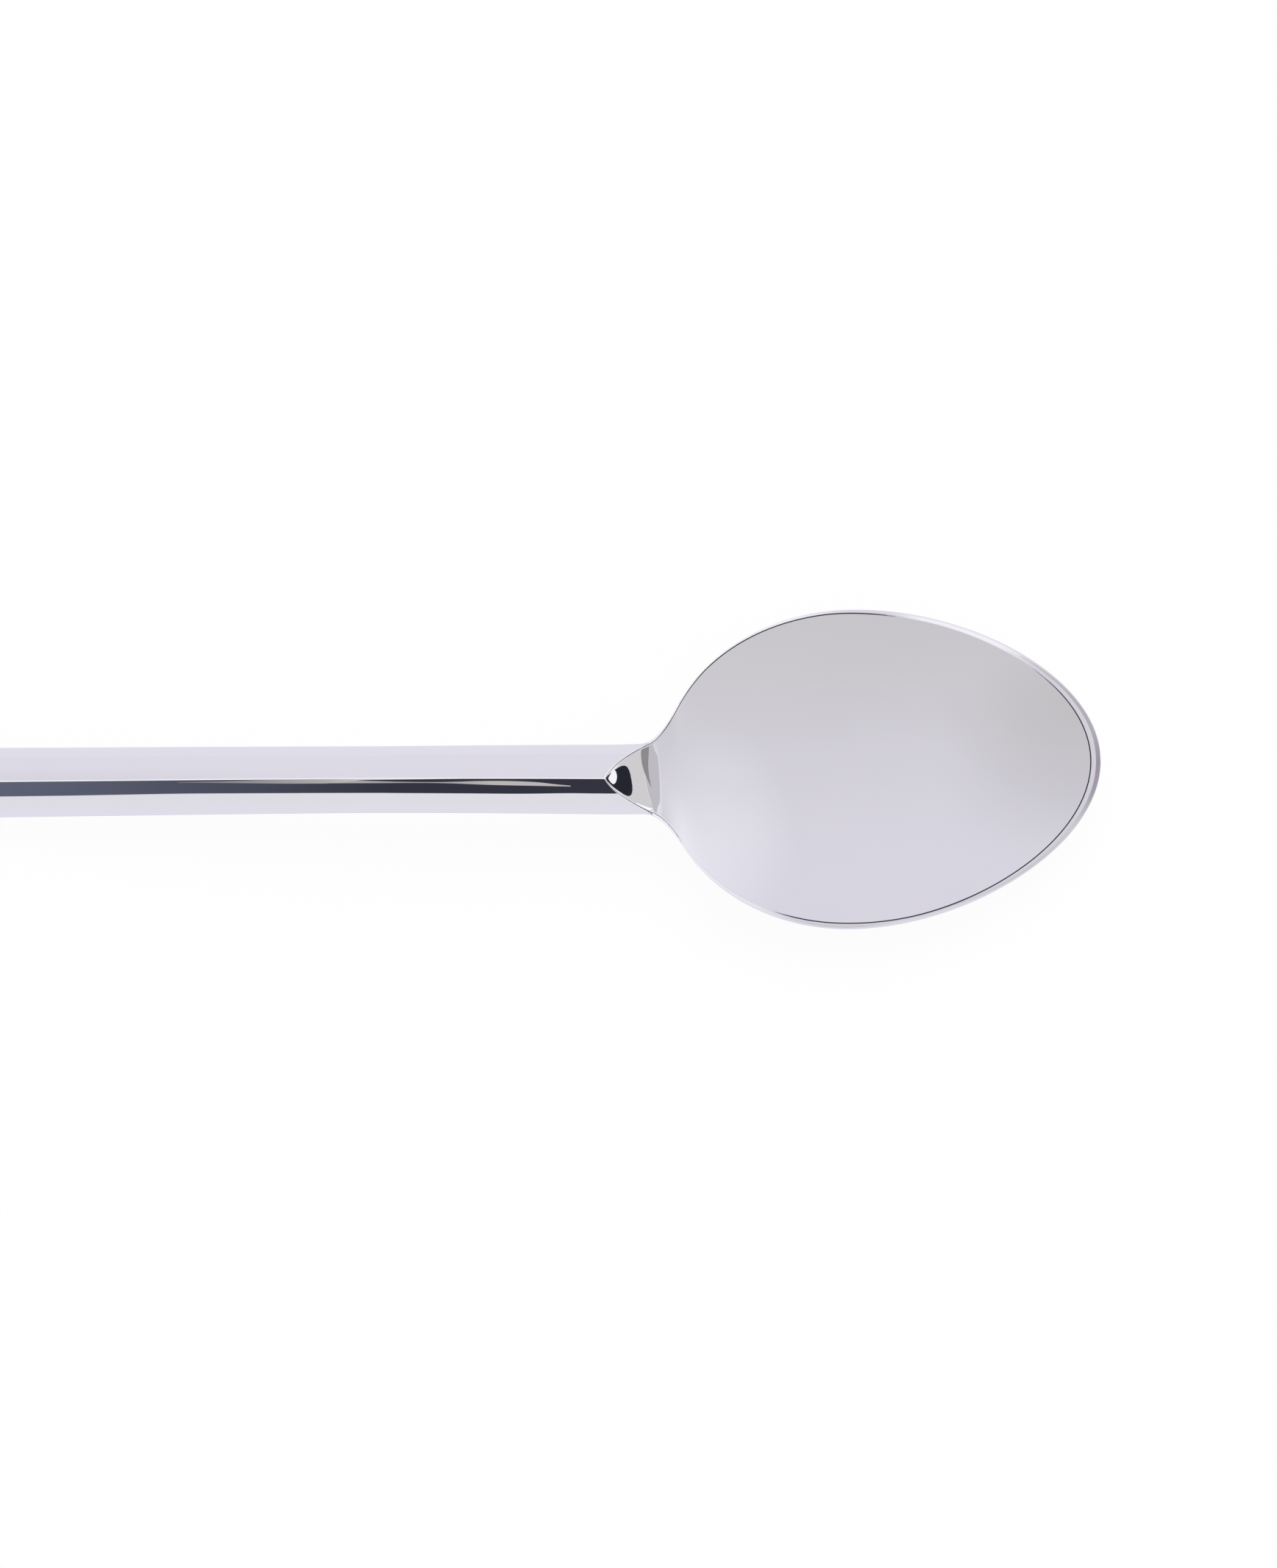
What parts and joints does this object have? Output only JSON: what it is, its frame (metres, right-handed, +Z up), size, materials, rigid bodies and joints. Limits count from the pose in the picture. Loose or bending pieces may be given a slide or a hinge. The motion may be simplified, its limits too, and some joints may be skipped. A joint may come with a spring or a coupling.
{
  "type": "dessert spoon",
  "caption": "Mirror-polished dessert spoon: an egg-shaped bowl whose root plugs into the pointed mouth of a hollow, ridged handle.",
  "frame": {"origin": "on the table, under the middle of the spoon's length and width", "axes": "+X along the spoon to the bowl's tip, +Y across the bowl, +Z up out of the bowl"},
  "size_m": [0.1822, 0.0402, 0.0167],
  "materials": {
    "bowl_steel": "mirror-polished stainless steel",
    "handle_steel": "mirror-polished stainless steel",
    "solder": "silver solder, polished flush"
  },
  "bodies": {
    "root": {"bowl": "bowl_steel", "handle_top": "handle_steel", "handle_bottom": "handle_steel", "seam_solder": "solder", "root_solder": "solder"}
  },
  "joints": []
}
